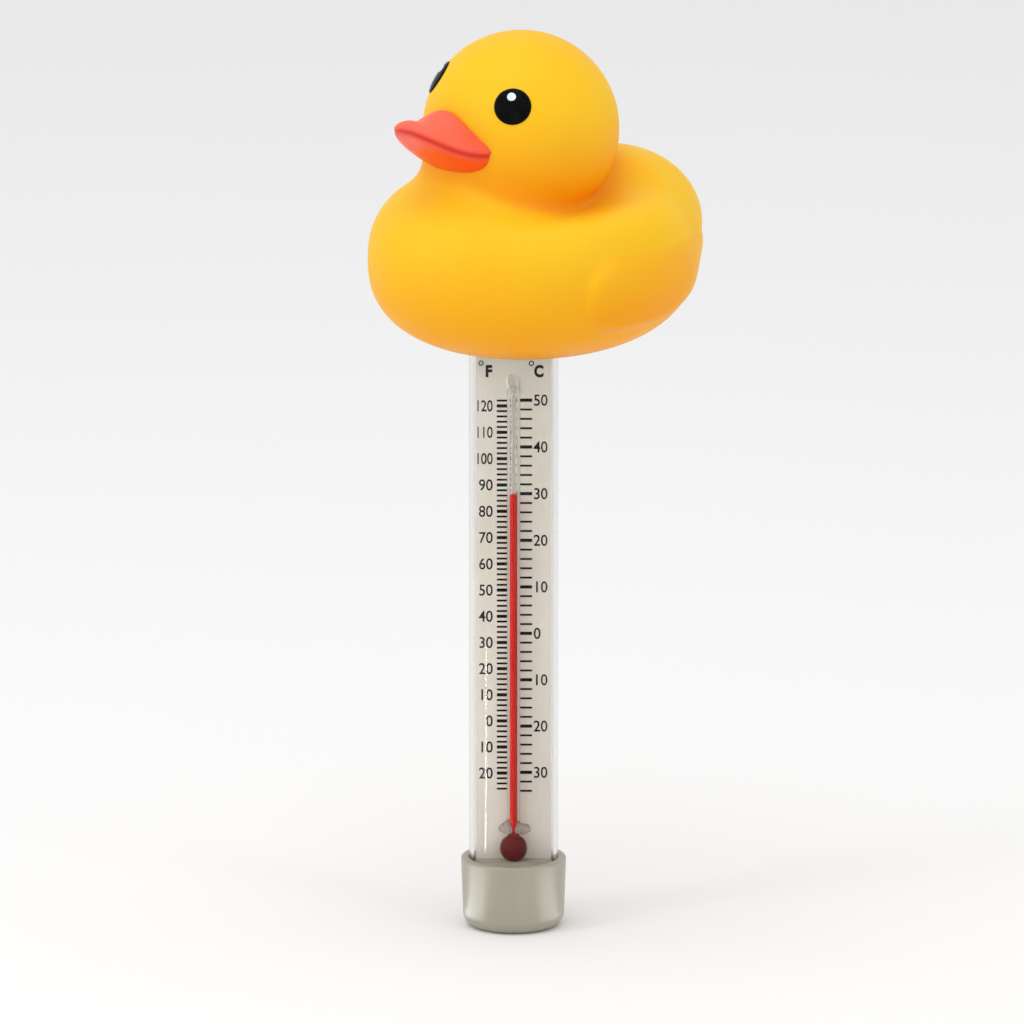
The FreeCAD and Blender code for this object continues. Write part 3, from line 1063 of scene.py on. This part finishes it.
def glue_field(spots, roughness, seed):
    """Lumpy dab: a union of small domes on the card's face, cut clear of the glass."""
    rng = np.random.default_rng(seed)
    waves = rng.normal(0, 1, (6, 3)) * roughness
    phase = rng.uniform(0, 6.28, 6)

    def field(p):
        x, y, z = p
        out = None
        for centre, radii in spots:
            d = ellipsoid(p, centre, radii)
            out = d if out is None else blend_union(out, d, GLUE_FILLET)
        for (wx, wy, wz), f in zip(waves, phase):
            out = out + GLUE_RIPPLE * np.sin(wx * x + wy * y + wz * z + f)
        out = np.maximum(out, y - (CARD_FRONT - 0.01))
        stem = np.sqrt(x * x + y * y) - (STEM_R + GLUE_GAP)
        bulb = np.sqrt(x * x + y * y + (z - BULB_Z) ** 2) - (BULB_R + GLUE_GAP)
        # the neck flares both ways from its narrowest place
        neck = np.sqrt(x * x + y * y) - 1.05 - 0.12 * np.abs(z - NECK_Z) ** 1.5
        solid = np.minimum(np.maximum(stem, STEM_START_Z - z), bulb)
        solid = np.minimum(solid, np.maximum(neck, np.abs(z - NECK_Z) - 2.6))
        return np.maximum(out, -solid)

    return field


def make_glue():
    """The clear lumps round the bulb's neck, and the cream dab at the stem's tip."""
    rng = np.random.default_rng(4)
    y = CARD_FRONT
    spots = [((0, y - 0.6, NECK_Z), (3.2, 1.9, 1.7))]
    for _ in range(9):
        x = rng.uniform(-3.3, 3.3)
        z = NECK_Z + rng.uniform(-1.4, 1.6) * (1 - abs(x) / 6)
        size = rng.uniform(0.5, 1.1)
        spots.append(((x, y - 0.3, z), (size * 1.2, size, size)))
    field = glue_field(spots, 3.0, 1)
    grid_low, grid_high = (-5, y - 3.4, NECK_Z - 3.5), (5, y + 0.5, NECK_Z + 3.5)
    obj, _ = field_mesh("neck_glue", field, grid_low, grid_high, NECK_GLUE_VOXEL)
    paint(obj, clear_glue_material())
    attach(obj, "stem")
    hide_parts("lower_glue")

    top = STEM_HI.z
    spots = [
        ((-0.2, y - 0.1, top + 0.6), (1.7, 0.9, 1.9)),
        ((-0.9, y, top + 1.6), (1.1, 0.6, 1.0)),
        ((0.9, y, top - 1.4), (1.1, 0.6, 1.0)),
    ]
    field = glue_field(spots, 1.6, 2)
    grid_low, grid_high = (-5, y - 3, top - 5), (5, y + 0.5, top + 4)
    obj, _ = field_mesh("tip_glue", field, grid_low, grid_high, TIP_GLUE_VOXEL)
    cream = plain_material("tip_adhesive", rgb(230, 224, 213), rgb(237, 232, 222), 0.6, 700)
    paint(obj, cream)
    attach(obj, "stem")
    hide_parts("upper_glue")


# --- pieces inside, kept from the CAD -------------------------------------------------------------
def dress_inner_pieces():
    """The CAD's own shapes are right for these, so they only get their materials."""
    dark_steel, bright_steel = (0.30, 0.31, 0.33, 1), (0.42, 0.43, 0.45, 1)
    steel = plain_material("ballast_steel", dark_steel, bright_steel, 0.28, 300, metallic=1.0)
    dull_foam, pale_foam = rgb(168, 160, 146), rgb(184, 176, 162)
    foam = plain_material("cushion_foam", dull_foam, pale_foam, 0.8, 900, bump=0.0003)
    black, dusty = (0.012, 0.012, 0.012, 1), (0.03, 0.03, 0.03, 1)
    rubber = plain_material("black_rubber", black, dusty, 0.5, 500)
    collar = plain_material("collar_plastic", rgb(214, 210, 200), rgb(226, 222, 214), 0.35, 250)
    dress = {
        "ballast": steel,
        "bulb_cushion": foam,
        "cap_gasket": rubber,
        "tube_plug": rubber,
        "collar_seal": rubber,
        "float_collar": collar,
    }
    for node, material in dress.items():
        paint(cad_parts[node], material)


# --- stage ----------------------------------------------------------------------------------------
VIEW_ELEVATION = 13.0  # degrees above the horizon, as in the photo
VIEW_DISTANCE = 3.0  # metres, a long lens
VIEW_WIDTH = 0.24576  # metres across the frame at the object
VIEW_CENTRE = (-0.000384, 0, 0.1021)
SENSOR = 36.0
FLOOR_HALF = 6000  # millimetres
LAMP_AIM = (0, 0, 0.12)


def make_camera():
    elevation = math.radians(VIEW_ELEVATION)
    back = Vector((0, -math.cos(elevation), math.sin(elevation)))
    data = bpy.data.cameras.new("camera")
    data.sensor_width = SENSOR
    data.lens = SENSOR * VIEW_DISTANCE / VIEW_WIDTH
    data.clip_end = 50
    cam = bpy.data.objects.new("camera", data)
    cam.location = Vector(VIEW_CENTRE) + back * VIEW_DISTANCE
    cam.rotation_euler = (-back).to_track_quat("-Z", "Y").to_euler()
    bpy.context.scene.collection.objects.link(cam)
    bpy.context.scene.camera = cam


def area_light(name, place, aim, size, power):
    """White rectangular lamp; places and sizes are in metres and the power in watts."""
    data = bpy.data.lights.new(name, "AREA")
    data.shape = "RECTANGLE"
    data.size, data.size_y = size
    data.energy = power
    obj = bpy.data.objects.new(name, data)
    obj.location = place
    obj.rotation_euler = (Vector(aim) - Vector(place)).to_track_quat("-Z", "Y").to_euler()
    bpy.context.scene.collection.objects.link(obj)
    return obj


def floor_band(name, piece, azimuth, width, near, far, level, steps=4):
    """Light lying on the floor from near to far, which only shows in reflections on one piece.

    It is made of steps that widen with their distance from the axis, so that the reflection keeps
    its width. The azimuth and the width are in degrees, near and far in millimetres, and the level
    is in watts per square metre.
    """
    lit = bpy.data.collections.new(name)
    lit.objects.link(bpy.data.objects[piece])
    a = math.radians(azimuth)
    out = Vector((math.sin(a), -math.cos(a), 0))
    side = Vector((-out.y, out.x, 0))
    for i in range(steps):
        start = near * (far / near) ** (i / steps)
        end = near * (far / near) ** ((i + 1) / steps)
        middle = (start + end) / 2
        size = (math.radians(width) * middle * MM, (end - start) * MM)
        place = out * middle * MM + Vector((0, 0, 0.0004))
        power = level * size[0] * size[1]
        strip = area_light(f"{name}_{i}", place, place + Vector((0, 0, 1)), size, power)
        strip.rotation_euler = Matrix((side, -out, Vector((0, 0, -1)))).transposed().to_euler()
        strip.visible_camera = False
        strip.visible_diffuse = False
        strip.visible_transmission = False
        strip.light_linking.receiver_collection = lit


def make_stage():
    """Pale paper floor, an even white world and three softboxes."""
    corners = [(FLOOR_HALF * i, FLOOR_HALF * j, 0) for i, j in ((-1, -1), (1, -1), (1, 1), (-1, 1))]
    floor = new_object("floor", corners, [(0, 1, 2, 3)])
    n = Nodes("floor_paper")
    tone = n.mix(n.noise(3, 2.0), (0.92, 0.92, 0.92, 1), (0.94, 0.94, 0.94, 1))
    n.shader({"Base Color": tone, "Roughness": 0.9})
    paint(floor, n.material)
    world = bpy.data.worlds.new("studio")
    world.use_nodes = True
    background = world.node_tree.nodes["Background"]
    background.inputs["Color"].default_value = (1, 1, 1, 1)
    background.inputs["Strength"].default_value = 0.8
    bpy.context.scene.world = world
    area_light("top_softbox", (-0.15, -0.25, 1.3), LAMP_AIM, (1.0, 1.0), 4)
    area_light("left_softbox", (-1.0, -0.6, 0.55), LAMP_AIM, (0.35, 1.1), 2.8)
    area_light("right_softbox", (0.95, -0.75, 0.45), LAMP_AIM, (0.3, 1.0), 1.6)


def make_highlights():
    """Bright bands on the cap and a thin line on the tube.

    A lens above the horizon sees upright walls mirror the floor, so their lights lie on it.
    """
    floor_band("cap_band_left", "end_cap", -80, 50, 17, 88, 13)
    floor_band("cap_band_right", "end_cap", 70, 44, 17, 88, 9)
    floor_band("tube_line", "tube", -74, 5, 84, 300, 170, 3)


bpy.context.scene.view_settings.view_transform = "Standard"
make_camera()
make_stage()
make_duck()
make_beak()
make_eyes()
make_cap()
make_tube()
make_card()
make_print()
make_stem()
make_spirit()
make_glue()
dress_inner_pieces()
make_highlights()
